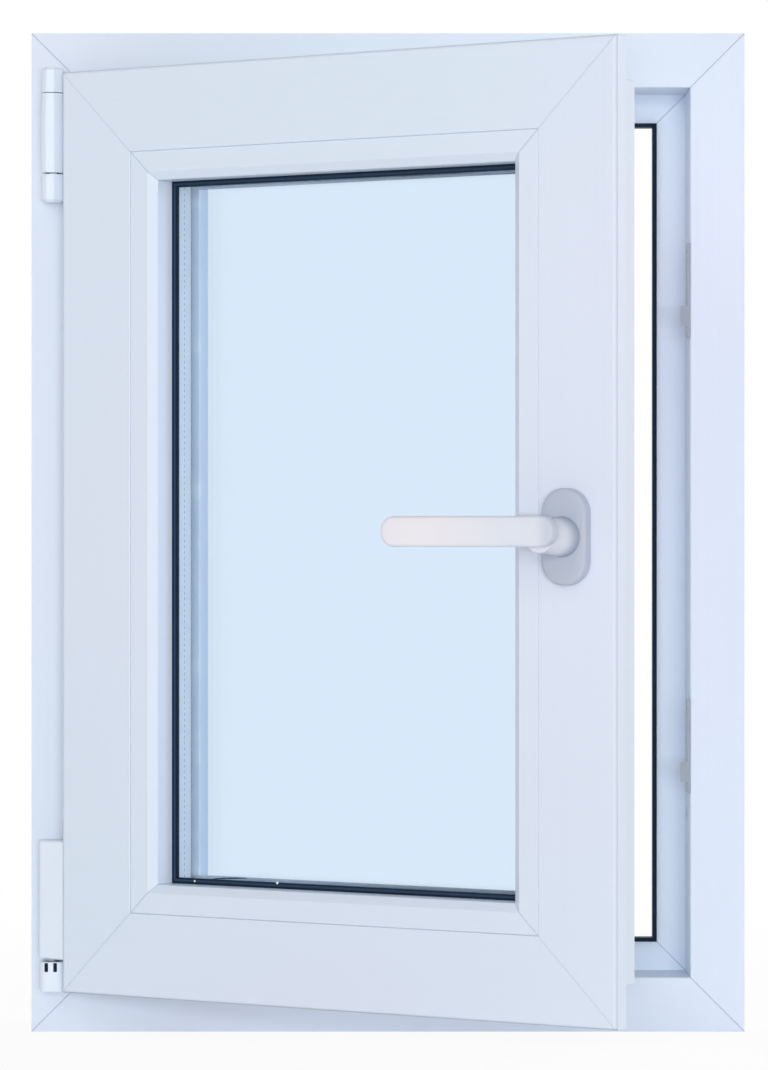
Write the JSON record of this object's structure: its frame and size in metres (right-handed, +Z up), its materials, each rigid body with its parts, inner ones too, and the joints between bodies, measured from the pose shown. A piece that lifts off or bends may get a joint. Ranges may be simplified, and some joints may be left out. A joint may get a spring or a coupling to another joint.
{
  "type": "tilt and turn window",
  "caption": "Small white uPVC tilt and turn window: a mitred fixed frame with a double glazed leaf standing part open, its handle, hinges, stay and locking pins.",
  "frame": {"origin": "middle of the frame's bottom face, which stands on the sill of the wall opening", "axes": "+X to the right seen from the room, +Y outdoors through the wall, +Z up"},
  "size_m": [0.5, 0.3579, 0.7],
  "materials": {
    "upvc": "satin white uPVC",
    "seal": "matt black",
    "glass": "clear float glass",
    "spacer": "mill",
    "steel": "silver plated",
    "keep": "zinc die cast",
    "hinge_cover": "satin white",
    "handle": "white powder coat",
    "drain_cap": "white"
  },
  "bodies": {
    "frame": {"frame_top_rail": "upvc", "frame_bottom_rail": "upvc", "frame_hinge_jamb": "upvc", "frame_lock_jamb": "upvc", "frame_seal": "seal", "lock_keep_lower": "keep", "lock_keep_upper": "keep", "top_keep": "keep", "tilt_keep": "keep", "top_hinge_bracket": "hinge_cover", "bottom_hinge_block": "hinge_cover", "drain_caps": "drain_cap"},
    "hinge_pin": {"hinge_cup": "steel"},
    "leaf": {"leaf_top_rail": "upvc", "leaf_bottom_rail": "upvc", "leaf_hinge_stile": "upvc", "leaf_lock_stile": "upvc", "glazing_bead_top": "upvc", "glazing_bead_bottom": "upvc", "glazing_bead_hinge": "upvc", "glazing_bead_lock": "upvc", "leaf_overlap_seal": "seal", "inner_glazing_seal": "seal", "outer_glazing_seal": "seal", "inner_pane": "glass", "outer_pane": "glass", "glass_spacer": "spacer", "lock_strip": "steel", "top_strip": "steel", "bottom_strip": "steel", "bottom_hinge_band": "steel", "bottom_hinge_cover": "hinge_cover", "handle_plate": "handle"},
    "stay": {"stay_arm": "steel", "top_hinge_barrel": "hinge_cover"},
    "handle": {"handle_lever": "handle"},
    "lock_cams": {"lock_cams": "steel"},
    "top_cam": {"top_cam": "steel"},
    "tilt_cam": {"tilt_cam": "steel"}
  },
  "joints": [
    {"name": "turn", "type": "hinge", "parent": "frame", "child": "hinge_pin", "pos_m": [-0.234, -0.046, 0.039], "axis": [0, 0, 1], "range_deg": [-58, 32]},
    {"name": "tilt", "type": "hinge", "parent": "hinge_pin", "child": "leaf", "pos_m": [-0.234, -0.046, 0.039], "axis": [0.848, -0.5299, 0], "range_deg": [0, 8]},
    {"name": "stay_swing", "type": "hinge", "parent": "hinge_pin", "child": "stay", "pos_m": [-0.234, -0.046, 0.655], "axis": [0, 0, -1], "range_deg": [0, 19.7]},
    {"name": "handle_turn", "type": "hinge", "parent": "leaf", "child": "handle", "pos_m": [0.11656, -0.27567, 0.347], "axis": [0.5299, 0.848, 0], "range_deg": [-90, 90]},
    {"name": "lock_slide", "type": "slide", "parent": "leaf", "child": "lock_cams", "axis": [0, 0, 1], "range_m": [-0.0181, 0.0181]},
    {"name": "top_slide", "type": "slide", "parent": "leaf", "child": "top_cam", "axis": [-0.848, 0.5299, 0], "range_m": [-0.0181, 0.0181]},
    {"name": "tilt_slide", "type": "slide", "parent": "leaf", "child": "tilt_cam", "axis": [0.848, -0.5299, 0], "range_m": [-0.0181, 0.0181]}
  ],
  "couplings": [
    {"joint": "stay_swing", "follows": "tilt", "ratio": 2.455},
    {"joint": "lock_slide", "follows": "handle_turn", "m_per_rad": 0.011459},
    {"joint": "top_slide", "follows": "handle_turn", "m_per_rad": 0.011459},
    {"joint": "tilt_slide", "follows": "handle_turn", "m_per_rad": 0.011459}
  ]
}
